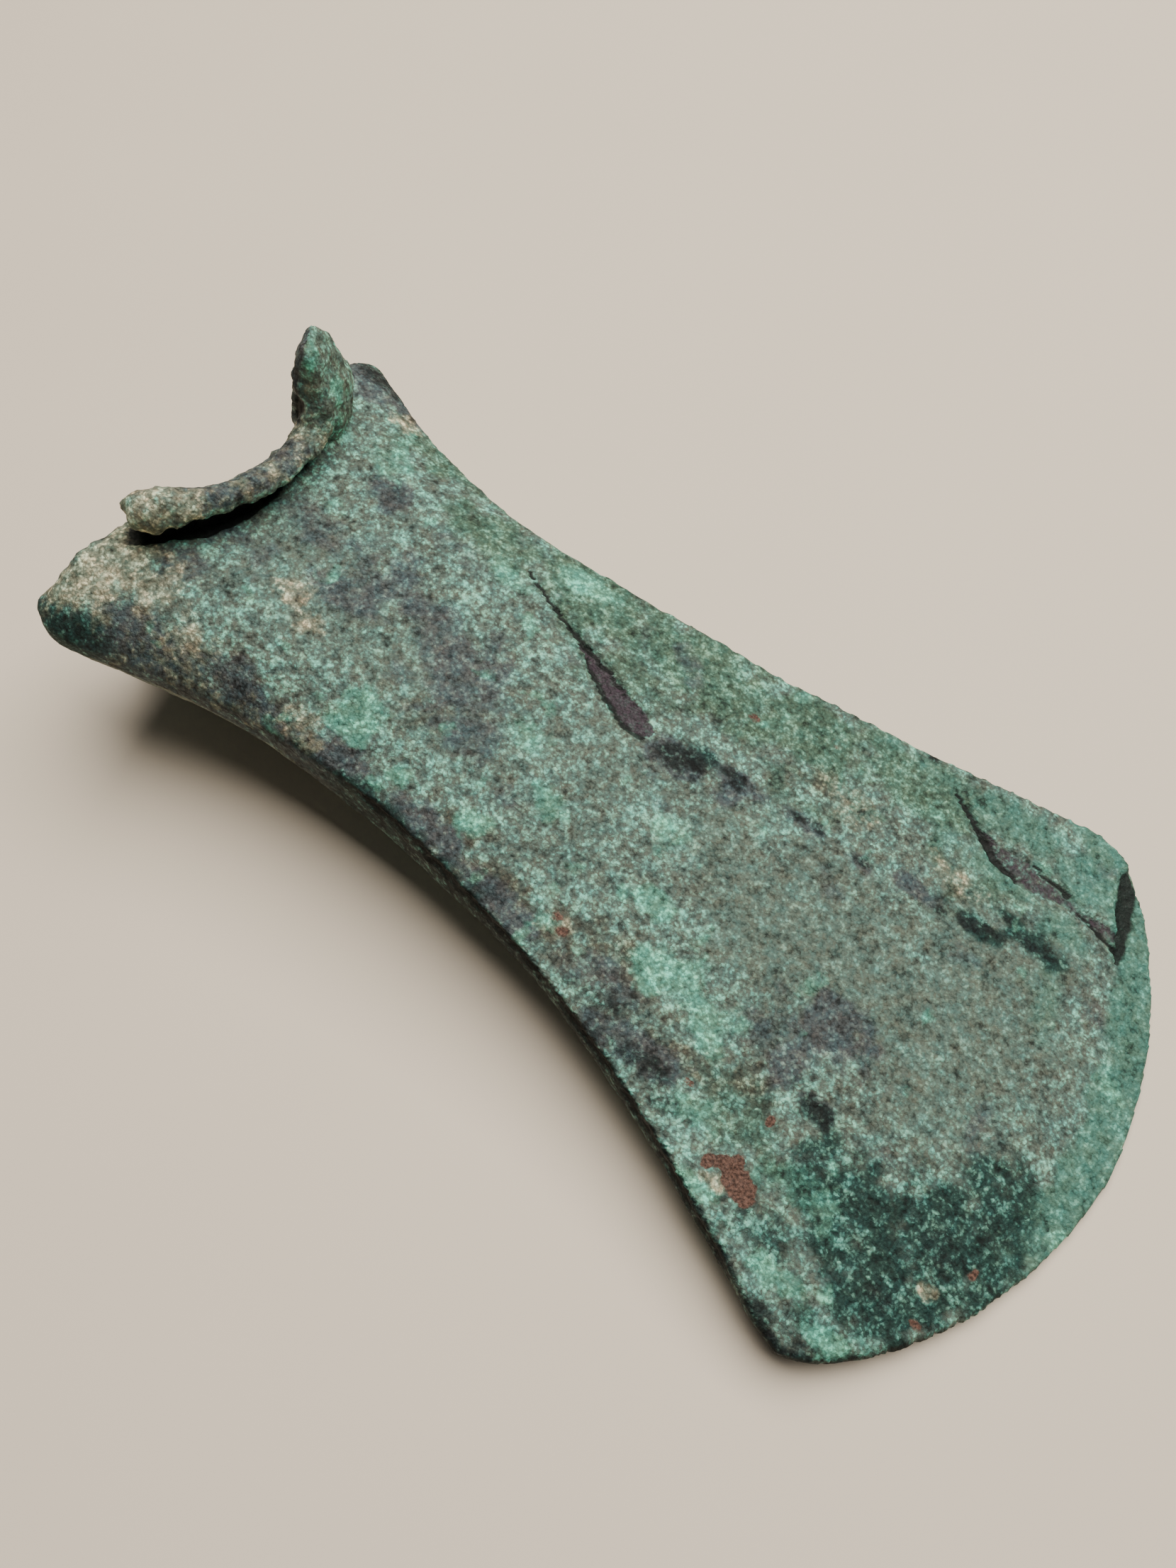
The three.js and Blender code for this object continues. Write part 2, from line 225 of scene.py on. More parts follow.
# Patches of the patina on the top: u, v, radius along u, radius along v, strength
PATCHES = {
    "slate": (
        (24.3, 15.2, 4.2, 3.6, 0.9), (50.7, -1.8, 10.0, 8.0, 0.75), (34.1, 3.7, 7.0, 6.0, 0.7),
        (43.2, 2.4, 6.0, 5.0, 0.7), (102.0, -28.6, 9.0, 3.2, 0.9), (92.0, -24.0, 8.0, 3.2, 0.6),
        (124.3, -19.8, 2.8, 2.3, 1.0), (118.0, -14.0, 7.0, 5.0, 0.6), (83.2, 7.8, 7.0, 2.6, 1.0),
        (90.0, 11.0, 5.5, 2.2, 1.0), (102.0, 12.5, 4.5, 1.9, 0.8), (111.0, 13.0, 2.6, 1.4, 0.6),
        (13.2, -6.1, 7.0, 5.0, 0.6), (9.5, -14.8, 4.5, 4.0, 0.6), (60.0, -22.0, 8.0, 2.4, 0.8),
        (38.0, 14.0, 7.0, 3.0, 0.5), (119.5, 15.0, 4.0, 1.6, 0.9), (58.0, -8.0, 8.0, 4.0, 0.6),
        (20.0, 33.0, 8.0, 3.0, 0.6), (5.0, 31.5, 7.0, 3.5, 0.8),
        (122.0, -10.5, 7.5, 5.0, 0.95), (14.0, -26.0, 9.0, 4.0, 1.0), (30.0, -24.5, 10.0, 4.0, 1.0),
        (46.0, -23.0, 9.0, 3.6, 1.0), (62.0, -23.0, 9.0, 3.0, 0.9), (76.0, -25.0, 8.0, 2.8, 0.9),
        (6.0, 30.0, 7.0, 5.0, 1.0), (14.0, 31.5, 8.0, 3.0, 1.0), (28.0, 31.5, 10.0, 1.8, 1.0),
        (31.0, -2.0, 9.0, 7.0, 0.7), (20.0, 3.0, 8.0, 4.0, 0.6), (118.0, -17.0, 5.0, 4.0, 0.8),
    ),
    "teal": (
        (147.7, -22.2, 12.0, 9.0, 1.0), (136.0, -27.2, 12.0, 8.0, 0.9), (142.4, -31.4, 12.0, 8.0, 1.0),
        (150.0, -13.0, 7.0, 6.0, 0.8), (128.0, -36.0, 9.0, 4.0, 0.6), (3.8, -31.3, 5.0, 3.5, 0.9),
        (124.5, -20.5, 3.0, 2.2, 0.9), (52.0, -24.5, 12.0, 2.4, 0.9), (66.0, -26.0, 10.0, 2.2, 0.7),
        (118.0, -26.0, 7.0, 5.0, 0.4), (30.0, -26.0, 12.0, 3.0, 0.5), (138.0, -41.5, 8.0, 2.0, 0.8),
        (148.0, -36.0, 6.0, 2.0, 0.9), (86.0, 11.0, 4.0, 1.6, 0.7), (131.0, 16.4, 5.0, 1.7, 0.9),
        (137.6, 19.6, 5.0, 2.4, 0.9), (133.4, 20.6, 3.4, 1.3, 0.8),
    ),
    "mint": (
        (43.8, -16.4, 4.4, 3.6, 1.0), (99.3, -17.6, 5.4, 3.6, 1.0), (54.8, 23.3, 5.0, 2.4, 0.9),
        (54.1, -19.4, 2.6, 2.0, 1.0), (66.0, -18.0, 3.0, 2.2, 0.8), (20.0, 20.0, 5.0, 4.0, 0.6),
        (118.0, -37.0, 4.0, 1.6, 0.7), (108.0, -20.0, 5.0, 4.0, 0.7), (73.0, -9.0, 3.0, 2.4, 0.8),
        (92.0, -11.0, 4.0, 2.6, 0.8), (64.0, -3.0, 4.0, 3.0, 0.6), (88.0, -1.0, 4.0, 3.0, 0.6),
        (128.0, -30.0, 8.0, 4.0, 0.5), (46.0, 16.0, 5.0, 3.0, 0.6), (83.0, -22.0, 2.5, 2.0, 0.6),
        (112.0, -30.0, 5.0, 3.0, 0.6),
        (133.0, -40.0, 5.0, 2.0, 0.8), (140.0, -42.0, 5.0, 1.8, 0.9), (148.0, -40.0, 4.0, 2.0, 0.8),
    ),
    "green": (
        (23.7, 27.8, 12.0, 5.0, 0.8), (39.9, 19.6, 10.0, 6.0, 0.9), (57.9, 22.8, 13.0, 7.0, 1.0),
        (76.4, 24.0, 14.0, 8.0, 1.0), (93.9, 25.1, 14.0, 8.0, 1.0), (111.9, 30.2, 12.0, 6.0, 0.9),
        (70.0, 14.0, 10.0, 6.0, 0.6), (116.0, -27.0, 9.0, 6.0, 0.6),
        (118.0, 33.0, 6.0, 5.0, 0.7), (128.0, 24.0, 10.0, 5.0, 0.6), (100.0, 15.0, 8.0, 5.0, 0.5),
    ),
    "edge": (
        (129.0, 35.0, 12.0, 4.0, 0.9), (141.0, 33.5, 6.0, 4.5, 1.0), (126.0, 25.6, 8.0, 2.4, 0.7),
        (140.0, 24.6, 6.0, 2.4, 0.7), (110.0, 34.0, 10.0, 1.6, 0.6), (143.0, 14.0, 4.0, 6.0, 0.5),
    ),
    "cream": (
        (3.0, -20.1, 7.0, 7.5, 0.95), (10.7, -20.1, 6.0, 4.5, 0.7), (24.8, -7.6, 3.0, 2.4, 0.8),
        (30.1, -9.8, 3.0, 2.2, 0.8), (15.4, 28.2, 3.2, 2.4, 0.8), (0.6, -25.3, 4.5, 6.0, 0.95),
        (26.0, -26.0, 12.0, 3.6, 0.5), (40.0, -22.0, 5.0, 2.6, 0.6), (18.0, -24.0, 7.0, 5.0, 0.5),
        (106.0, 20.0, 6.0, 4.0, 0.4), (124.0, 21.0, 5.0, 2.5, 0.45), (0.5, -13.0, 3.0, 5.0, 0.8),
        (119.0, -35.4, 2.6, 1.4, 0.8), (84.0, -21.7, 3.4, 2.4, 0.6), (147.6, -29.5, 1.6, 1.2, 0.7),
    ),
    "calm": (
        (120.0, 0.0, 26.0, 15.0, 1.0), (134.0, 6.0, 17.0, 20.0, 1.0), (100.0, 1.0, 18.0, 7.0, 0.8),
        (138.0, -8.0, 12.0, 9.0, 0.8), (76.0, 2.0, 14.0, 6.0, 0.5), (70.0, -8.0, 14.0, 6.0, 0.4),
        (26.0, -4.0, 18.0, 10.0, 0.65), (48.0, -6.0, 14.0, 9.0, 0.65),
    ),
    # Brown patches along the near slope: partly its own dull mottling, partly painted shade of the slope
    # turned from the light
    "brown": (
        (20.0, -27.0, 12.0, 5.0, 1.0), (34.0, -24.0, 10.0, 4.0, 1.0), (48.0, -23.5, 10.0, 3.5, 0.9),
        (62.0, -24.0, 10.0, 3.0, 0.8), (10.0, -31.0, 8.0, 3.0, 0.8), (84.0, -22.5, 6.0, 3.4, 0.8),
        (75.0, -23.0, 8.0, 3.2, 0.8), (100.0, 20.0, 6.0, 3.0, 0.6), (52.0, -10.0, 10.0, 3.0, 0.5),
        (93.0, -20.5, 8.0, 3.6, 0.8), (106.0, -25.0, 9.0, 3.6, 0.7), (66.0, -20.0, 7.0, 3.0, 0.7),
        (116.0, -22.0, 6.0, 4.0, 0.6), (127.0, -27.0, 6.0, 4.0, 0.5),
    ),
    # Near-black smudges on the top; the same layer also paints shade on the near side
    "soot": (
        (81.5, 7.5, 3.2, 1.6, 0.9), (85.0, 9.5, 3.4, 1.5, 1.0), (89.5, 11.5, 3.0, 1.2, 0.9),
        (101.0, 12.6, 2.2, 0.9, 0.8), (104.0, 13.2, 2.4, 0.9, 0.7), (111.0, 13.2, 1.6, 0.7, 0.6),
        (124.4, -20.0, 3.0, 2.3, 1.0), (121.5, -18.0, 2.4, 2.0, 0.5), (102.0, -29.5, 7.0, 2.0, 0.7),
        (94.0, -26.5, 6.0, 1.6, 0.6), (109.0, -31.5, 5.0, 1.6, 0.6), (124.8, 14.7, 1.2, 0.9, 0.9),
        (128.3, 15.8, 2.0, 1.0, 0.9), (132.6, 17.0, 3.0, 0.8, 0.7), (137.4, 19.2, 2.4, 0.9, 0.7),
        (133.0, 20.4, 1.8, 0.7, 0.7), (111.2, 35.6, 2.2, 0.9, 0.9), (3.8, -31.5, 5.0, 2.5, 0.4),
        (5.0, 33.0, 7.0, 2.2, 0.8), (13.0, 34.0, 7.0, 1.8, 0.8), (55.0, -25.8, 7.0, 2.2, 1.0),
        (24.3, 15.4, 2.2, 1.8, 0.4), (147.0, -24.0, 4.0, 3.0, 0.5), (143.0, -33.0, 3.0, 2.0, 0.5),
        (139.0, -44.0, 6.0, 1.2, 0.6), (132.5, -44.0, 3.0, 1.6, 0.7), (152.0, -18.0, 3.0, 2.0, 0.4),
    ),
    "copper": (
        (117.2, -33.9, 1.2, 1.3, 1.0), (118.9, -32.8, 1.3, 1.2, 1.0), (120.3, -31.8, 1.1, 1.5, 1.0),
        (121.0, -33.4, 1.9, 1.9, 1.0), (122.8, -34.4, 2.1, 1.9, 1.0), (109.8, -27.5, 1.3, 0.8, 0.8),
        (120.9, -24.8, 0.8, 1.0, 0.8), (148.9, -33.5, 1.4, 0.9, 0.7), (152.0, -24.1, 1.0, 1.5, 0.7),
        (83.1, -21.0, 1.5, 1.0, 0.7), (85.0, -22.3, 1.3, 1.1, 0.7), (57.4, -26.1, 1.4, 1.0, 0.7),
        (87.0, 22.0, 1.6, 1.0, 0.6), (99.0, 27.0, 1.4, 0.9, 0.5), (95.6, -3.0, 0.8, 0.6, 0.5),
    ),
}
# Besides the patches: the flaked scars, painted shade in the crevices, and a painted highlight along the near
# side's lower edge
LAYERS = (*PATCHES, "scar", "crevice", "rim")

# Each region of the patina: its layer, the fineness, raggedness and softness of its edge, its strength and
# how much more of its grain turns light
REGIONS = (
    ("calm", 240, 0.8, 0.45, 0.85, -0.04),
    ("green", 260, 0.9, 0.42, 0.95, -0.02),
    ("edge", 300, 0.7, 0.45, 0.95, 0.00),
    ("brown", 420, 1.1, 0.35, 0.80, -0.10),
    ("slate", 380, 1.0, 0.32, 0.90, -0.15),
    ("teal", 380, 1.1, 0.34, 0.95, -0.12),
    ("mint", 700, 1.2, 0.32, 0.90, 0.16),
    ("cream", 800, 1.4, 0.30, 0.80, 0.06),
    ("soot", 900, 1.5, 0.42, 0.95, -0.06),
)


def millimetres(name, description, value):
    """A length that a user sets in metres."""
    return FloatProperty(name=name, description=description, default=value * MM, unit="LENGTH", precision=5)


def angle(name, description, value):
    """An angle that a user sets in degrees."""
    return FloatProperty(name=name, description=description, default=math.radians(value), subtype="ANGLE")


def colour(name, description, value):
    """A colour that a user sets."""
    return FloatVectorProperty(
        name=name, description=description, default=(*value, 1), size=4, subtype="COLOR", min=0, max=1)


class AxeHeadSettings(bpy.types.PropertyGroup):
    """Sizes and colours of the head"""

    facet: millimetres("Facet", "Size of the head's facets", 0.57)
    swell: millimetres("Swell", "Height of the casting's slow unevenness", 0.30)
    crust: millimetres("Crust", "Height of the patina's lumps", 0.17)
    lip_crust: millimetres("Lip crust", "Height of the lumps on the lip and the horn", 0.62)
    break_crust: millimetres("Break crust", "Roughness of the broken edge", 0.8)
    edge_wear: millimetres("Edge wear", "Depth of the nicks along the cutting edge", 0.25)
    body: colour("Body", "Grey-green between the grains of most of the head", (0.106, 0.152, 0.136))
    body_calm: colour("Calm", "Even grey-green of the middle of the blade", (0.102, 0.150, 0.130))
    # Brown is partly painted shade of the near slope
    body_brown: colour("Brown", "Dull brown-grey of the near slope", (0.062, 0.068, 0.054))
    body_slate: colour("Slate", "Purple-grey blotches", (0.070, 0.088, 0.102))
    # Teal and the near-black below also serve as painted shade on the near side, beside their own patches
    body_teal: colour("Teal", "Near-black green of the lower blade", (0.012, 0.046, 0.041))
    body_soot: colour("Soot", "Near-black smudges", (0.010, 0.018, 0.018))
    body_green: colour("Green", "Warmer green of the horn's side", (0.060, 0.128, 0.093))
    body_edge: colour("Edge", "Smooth green of the cutting edge", (0.072, 0.190, 0.154))
    body_mint: colour("Turquoise", "Turquoise spots", (0.095, 0.270, 0.210))
    body_cream: colour("Cream", "Pale crust", (0.205, 0.225, 0.165))
    grain: colour("Grain", "Mint grains of most of the head", (0.205, 0.530, 0.430))
    grain_calm: colour("Calm grain", "Grains of the middle of the blade", (0.145, 0.235, 0.200))
    grain_brown: colour("Brown grain", "Grains of the near slope", (0.230, 0.260, 0.190))
    grain_slate: colour("Slate grain", "Grains in the slate blotches", (0.150, 0.215, 0.210))
    grain_teal: colour("Teal grain", "Grains of the lower blade", (0.105, 0.290, 0.245))
    grain_soot: colour("Soot grain", "Grains in the near-black smudges", (0.060, 0.130, 0.115))
    grain_green: colour("Green grain", "Grains of the horn's side", (0.150, 0.335, 0.245))
    grain_edge: colour("Edge grain", "Grains of the cutting edge", (0.125, 0.330, 0.265))
    grain_mint: colour("Turquoise grain", "Grains of the turquoise spots", (0.180, 0.640, 0.480))
    grain_cream: colour("Cream grain", "Grains of the pale crust", (0.720, 0.680, 0.480))
    copper: colour("Copper", "Red-brown spots of bare metal", (0.105, 0.056, 0.041))
    scar: colour("Scar", "Purple-brown of the flaked scars", (0.040, 0.025, 0.036))


class AxeStageSettings(bpy.types.PropertyGroup):
    """Colour of the floor and place of the camera"""

    floor: colour("Floor", "Pale warm grey of the floor", (0.85, 0.735, 0.59))
    camera_x: millimetres("Camera X", "The camera's place along X", 44.38)
    camera_y: millimetres("Camera Y", "The camera's place along Y", -70.775)
    camera_z: millimetres("Camera Z", "The camera's height", 161.93)
    pitch: angle("Pitch", "How far the camera looks down", 59.642)
    roll: angle("Roll", "The camera's roll", 2.646)
    heading: angle("Heading", "The camera's turn about Z", 34.149)
    lens: FloatProperty(
        name="Lens", description="Focal length on a 36 mm frame, in millimetres", default=27.34, min=1)


def head_point(co):
    """The head's own u, v, w in millimetres of a point of the part."""
    x = co.x / MM - U_ORIGIN_X
    z = co.z / MM - W_ORIGIN_Z
    u = x * math.cos(TILT) - z * math.sin(TILT)
    w = x * math.sin(TILT) + z * math.cos(TILT)
    return u, co.y / MM - V_ORIGIN_Y, w


def smooth(low, high, x):
    """0 below low, 1 above high, and an S between them."""
    t = min(max((x - low) / (high - low), 0.0), 1.0)
    return t * t * (3 - 2 * t)


def band(low, high, soft, x):
    """1 between low and high, fading over a soft width outside them."""
    return smooth(low - soft, low, x) * (1 - smooth(high, high + soft, x))


def rough(co, kind):
    """Even noise from about -1 to 1, of a kind that NOISES names."""
    size, seed, octaves = NOISES[kind]
    place = co / (size * MM) + Vector((seed, seed * 1.7, -seed))
    return noise.fractal(place, NOISE_DECAY, NOISE_LACUNARITY, octaves)


def patch_share(spots, u, v, waver):
    """How strongly a point lies in any of these patches, whose edges waver."""
    best = 0.0
    for spot_u, spot_v, reach_u, reach_v, strength in spots:
        away = math.hypot((u - spot_u) / reach_u, (v - spot_v) / reach_v)
        if away < PATCH_LIMIT:
            best = max(best, strength * (1 - smooth(*PATCH_EDGE, away + PATCH_WAVER * waver)))
    return best


def line_at(line, u, v):
    """Distance from a crack or scar in half widths, and its depth there."""
    best = NO_LINE
    for (au, av, aw, ad), (bu, bv, bw, bd) in zip(line, line[1:]):
        du, dv = bu - au, bv - av
        t = min(max(((u - au) * du + (v - av) * dv) / (du * du + dv * dv), 0.0), 1.0)
        away = math.hypot(u - au - du * t, v - av - dv * t) / (aw + (bw - aw) * t)
        if away < best[0]:
            best = (away, ad + (bd - ad) * t)
    return best


class Spot:
    """Where a point of the skin lies on the head."""

    def __init__(self, co, normal):
        self.co = co
        self.u, self.v, self.w = head_point(co)
        self.up = normal.x * math.sin(TILT) + normal.z * math.cos(TILT)
        self.out = normal.y
        away_u, away_v = self.u - HOLE_U, self.v - HOLE_V
        from_hole = math.hypot(away_u, away_v)
        along = normal.x * math.cos(TILT) - normal.z * math.sin(TILT)
        self.inward = -(along * away_u + normal.y * away_v) / from_hole
        self.away = from_hole - HOLE_RADIUS
        self.turn = math.degrees(math.atan2(away_v, away_u))
        self.top = smooth(*TOP_FACING, self.up) * (1 - smooth(*TOP_HEIGHT, self.w))
        self.on_lip = smooth(*LIP_HEIGHT, self.w) * (1 - smooth(*LIP_REACH, self.away))
        past_u = self.u - (LENGTH - EDGE_RADIUS)
        self.rim = EDGE_RADIUS - (math.hypot(past_u, self.v - EDGE_CENTRE_V) if past_u > 0 else 0.0)
        break_u = BREAK_SLANT * self.v - BREAK_HOOK * self.v * self.v
        self.near_break = (1 - smooth(*BREAK_REACH, self.u - break_u)) * (1 - self.on_lip)


def relief(spot, sizes):
    """How far a point moves out along its normal, in metres, cracks left out."""
    co = spot.co
    lumps = 0.6 * rough(co, "lumps") + 0.5 * rough(co, "fine_lumps")
    lip = 0.25 + 0.7 * rough(co, "lip_lumps") + 0.5 * rough(co, "fine_lip_lumps")
    broken = 0.7 * rough(co, "break_lumps") + 0.5 * rough(co, "fine_break_lumps")
    nicks = (1 - smooth(0.2, 1.4, spot.rim)) * max(0.0, rough(co, "nicks") - 0.1)
    move = sizes.swell * rough(co, "swell") + sizes.crust * lumps * (0.35 + 0.65 * smooth(0.5, 3.0, spot.rim))
    move += spot.on_lip * sizes.lip_crust * lip
    move += spot.near_break * sizes.break_crust * broken
    return move + RIM_SWELL * MM * (1 - smooth(0.5, 1.6, spot.rim)) - sizes.edge_wear * nicks


def lip_end(spot):
    """Swelling of the lip's broken near end, and the small notch where the lip meets the horn's inside, also
    painted black as painted shade.
    """
    knob = band(*KNOB_TURNS, spot.turn) * spot.on_lip
    inside = 1 - smooth(0.5, 2.5, spot.away)
    notch = inside * band(*NOTCH_TURNS, spot.turn) * smooth(*NOTCH_FOOT, spot.w)
    notch *= 1 - smooth(*NOTCH_HEAD, spot.w)
    return KNOB_SWELL * MM * knob * (1 + rough(spot.co, "knob")) - NOTCH_DEPTH * MM * notch, notch


def undercut_shadow(spot):
    """The gap in front of the lip, widest at its near end, carved shallow and painted black as the lip's
    painted shadow.
    """
    reach = GAP_OUTER - 1.8 * smooth(*GAP_NARROWS, spot.turn) + 0.5 * rough(spot.co, "gap_edge")
    gap = band(GAP_INNER, reach, 0.7, spot.away) * (1 - smooth(*GAP_HEIGHT, spot.w))
    gap *= smooth(0.0, 0.3, spot.up + 0.2)
    return gap * (1 - smooth(*GAP_END, spot.turn)) * smooth(*GAP_START, spot.turn)


def near_groove_and_shade(spot):
    """The groove between the top and the near side, carved shallow and painted black as painted shade in it.
    """
    broken = smooth(-0.5, 0.0, rough(spot.co, "groove_gaps"))
    along = band(*GROOVE_U, spot.u) * (0.45 + 0.55 * broken)
    wall = smooth(0.35, 0.7, -spot.out) * (1 - smooth(0.55, 0.85, spot.up))
    return along * wall * band(*GROOVE_W, spot.w + 0.35 * rough(spot.co, "groove_edge"))


def deepen(share, layer, amount):
    """Raises a point's share of a layer to this amount, where it is less."""
    share[layer] = max(share[layer], amount)


def top_patina(spot, waver, share):
    """The patches of the top, the green strip along the cutting edge, and loose clouds of slate and mint."""
    for layer, spots in PATCHES.items():
        ragged = 0.5 * waver if layer == "copper" else waver
        share[layer] = spot.top * patch_share(spots, spot.u, spot.v, ragged)
    strip = (1 - smooth(*STRIP_RIM, spot.rim + 1.8 * waver)) * smooth(*STRIP_START, spot.v)
    deepen(share, "edge", spot.top * strip)
    deepen(share, "slate", 0.5 * spot.top * smooth(0.2, 0.8, rough(spot.co, "slate_clouds")))
    deepen(share, "mint", 0.6 * spot.top * smooth(0.35, 0.8, rough(spot.co, "mint_clouds")))


def wall_patina(spot, waver, share):
    """The patina of the near side, the underside and the far side, with painted shade darkening the near side
    and a painted highlight along its lower edge.
    """
    near_wall = smooth(*WALL_FACING, -spot.out) * (1 - spot.on_lip)
    butt = 1 - smooth(*BUTT_END, spot.u)
    end = 1 - smooth(*WING_END, spot.u)
    crusted = smooth(0.0, 0.6, rough(spot.co, "wall_cream"))
    # Painted shade: the near side, turned from the light, is made near-black teal and, past the butt,
    # near-black; partly its own dark green patina
    deepen(share, "teal", near_wall * (1 - 0.6 * butt * (1 - end)) * (0.8 + 0.35 * waver))
    deepen(share, "slate", near_wall * butt * 0.8)
    deepen(share, "cream", near_wall * butt * (1 - end) * 0.6 * crusted)
    deepen(share, "soot", near_wall * smooth(*WALL_SHADE_START, spot.u) * (0.75 + 0.4 * waver))
    # Painted highlight: a light line along the near side's lower edge, where it turns down
    share["rim"] = near_wall * band(*RIM_HIGHLIGHT_U, spot.u) * band(*RIM_HIGHLIGHT_FACING, spot.up)
    deepen(share, "slate", (1 - smooth(*UNDER_FACING, spot.up)) * (0.5 + 0.4 * waver))
    deepen(share, "green", 0.8 * smooth(*FAR_FACING, spot.out) * (1 - spot.on_lip))


def hole_patina(spot, share):
    """The patina of the hole's wall, its lip and its horn."""
    bore = smooth(*BORE_FACING, spot.inward) * (1 - smooth(*BORE_REACH, spot.away))
    horn = spot.on_lip * smooth(*HORN_TURN, spot.turn)
    near_end = 1 - smooth(-40, -28, spot.turn)
    crusted = 0.35 + 0.4 * smooth(0.0, 0.6, rough(spot.co, "lip_cream")) + 0.3 * near_end
    deepen(share, "slate", bore)
    deepen(share, "green", horn * (1 - bore) * 0.3)
    deepen(share, "mint", horn * (1 - bore) * 0.75 * smooth(-0.1, 0.5, rough(spot.co, "horn_mint")))
    deepen(share, "cream", spot.on_lip * (1 - horn) * crusted)
    deepen(share, "slate", spot.on_lip * band(*LIP_SLATE_TURNS, spot.turn) * smooth(0.2, 0.7, spot.up))


def weather(co, normal, sizes):
    """How far a point moves along its normal, in metres, and its share of each layer of the patina."""
    spot = Spot(co, normal)
    share = dict.fromkeys(LAYERS, 0.0)
    waver = rough(co, "waver")
    swelling, notch = lip_end(spot)
    # Painted shadow in front of the lip, also carved shallow
    gap = undercut_shadow(spot)
    # The near groove, carved shallow and painted black as shade
    groove = near_groove_and_shade(spot)
    move = relief(spot, sizes)
    move += SHOULDER_SWELL * MM * smooth(*SHOULDER_START, spot.u) * smooth(*SHOULDER_FACING, -spot.out)
    move += swelling - GAP_DEPTH * MM * gap - GROOVE_DEPTH * MM * groove

    line_u = spot.u + LINE_WAVER * rough(co, "line_u")
    line_v = spot.v + LINE_WAVER * rough(co, "line_v")
    # Painted shade: the cracks are painted black as well as carved
    black = 0.0
    for crack in CRACKS:
        away, depth = line_at(crack, line_u, line_v)
        inside = spot.top * (1 - smooth(*CRACK_EDGE, away))
        move -= inside * depth * MM
        black = max(black, inside)
    for darkness, *scar in SCARS:
        away, depth = line_at(scar, line_u, line_v)
        inside = spot.top * (1 - smooth(*SCAR_EDGE, away))
        move -= inside * depth * MM
        deepen(share, "scar", inside * darkness)
    # Painted shade: the cracks, the gap before the lip, the near groove and the notch are painted near-black
    share["crevice"] = max(black, gap, groove, notch)

    if spot.top > 0:
        top_patina(spot, waver, share)
    wall_patina(spot, waver, share)
    hole_patina(spot, share)
    return move, share


def rub(skin, verts):
    """Smooths these points of the skin once."""
    bmesh.ops.smooth_vert(skin, verts=verts, factor=RUB, use_axis_x=True, use_axis_y=True, use_axis_z=True)


def wear_corner(skin, u, v, low, high, reach):
    """Rounds the skin about a corner of the head, most at its middle."""
    near = []
    for vert in skin.verts:
        vert_u, vert_v, w = head_point(vert.co)
        away = math.hypot(vert_u - u, vert_v - v)
        if away < reach and low < w < high:
            near.append((away, vert))
    for turn in range(WEAR_TURNS):
        worn = [vert for away, vert in near if away < reach * (1 - turn / WEAR_TURNS)]
        if worn:
            rub(skin, worn)


def cast_mesh(sizes):
    """A fine, even skin over a merged copy of the solid."""
    solid = bmesh.new()
    solid.from_mesh(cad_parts["axe_head"].data)
    bmesh.ops.remove_doubles(solid, verts=solid.verts, dist=WELD)
    mesh = bpy.data.meshes.new("axe_head_cast")
    solid.to_mesh(mesh)
    solid.free()
    body = bpy.data.objects.new("axe_head_cast", mesh)
    bpy.context.scene.collection.objects.link(body)
    skin = body.modifiers.new("skin", "REMESH")
    skin.mode = "VOXEL"
    skin.voxel_size = sizes.facet
    skin.use_smooth_shade = True
    bpy.context.view_layer.update()
    fine = bpy.data.meshes.new_from_object(body.evaluated_get(bpy.context.evaluated_depsgraph_get()))
    body.modifiers.clear()
    body.data = fine
    bpy.data.meshes.remove(mesh)
    return body


def weather_mesh(mesh, sizes):
    """Moves the skin into its relief and stores the layers of the patina on it."""
    skin = bmesh.new()
    skin.from_mesh(mesh)
    rub(skin, skin.verts)
    for corner in WORN_CORNERS:
        wear_corner(skin, *corner)
    skin.normal_update()
    layers = {name: skin.verts.layers.float.new(name) for name in LAYERS}
    moves = []
    for vert in skin.verts:
        move, share = weather(vert.co, vert.normal, sizes)
        moves.append(vert.normal * move)
        for name, layer in layers.items():
            vert[layer] = share[name]
    for vert, move in zip(skin.verts, moves):
        vert.co += move
        vert.co.z = max(vert.co.z, 0.0)
    for face in skin.faces:
        face.smooth = True
    skin.to_mesh(mesh)
    skin.free()


class Nodes:
    """Adds nodes to one tree and joins them."""

    def __init__(self, tree):
        self.tree = tree

    def add(self, kind, values=None, **facts):
        node = self.tree.nodes.new(kind)
        for name, value in facts.items():
            setattr(node, name, value)
        for socket, value in (values or {}).items():
            if isinstance(value, bpy.types.NodeSocket):
                self.tree.links.new(value, node.inputs[socket])
            else:
                node.inputs[socket].default_value = value
        return node

    def maths(self, operation, a, b=0.0):
        return self.add("ShaderNodeMath", {0: a, 1: b}, operation=operation).outputs[0]

    def mix(self, share, a, b):
        return self.add("ShaderNodeMix", {"Factor": share, 6: a, 7: b}, data_type="RGBA").outputs[2]

    def scale(self, tone, amount):
        return self.add("ShaderNodeVectorMath", {0: tone, "Scale": amount}, operation="SCALE").outputs[0]

    def span(self, value, low, high, to_low=0.0, to_high=1.0, kind="SMOOTHSTEP"):
        values = {"Value": value, 1: low, 2: high, 3: to_low, 4: to_high}
        return self.add("ShaderNodeMapRange", values, interpolation_type=kind).outputs[0]

    def noise(self, point, scale, detail=3.0, roughness=0.6):
        values = {"Vector": point, "Scale": scale, "Detail": detail, "Roughness": roughness}
        return self.add("ShaderNodeTexNoise", values).outputs[0]


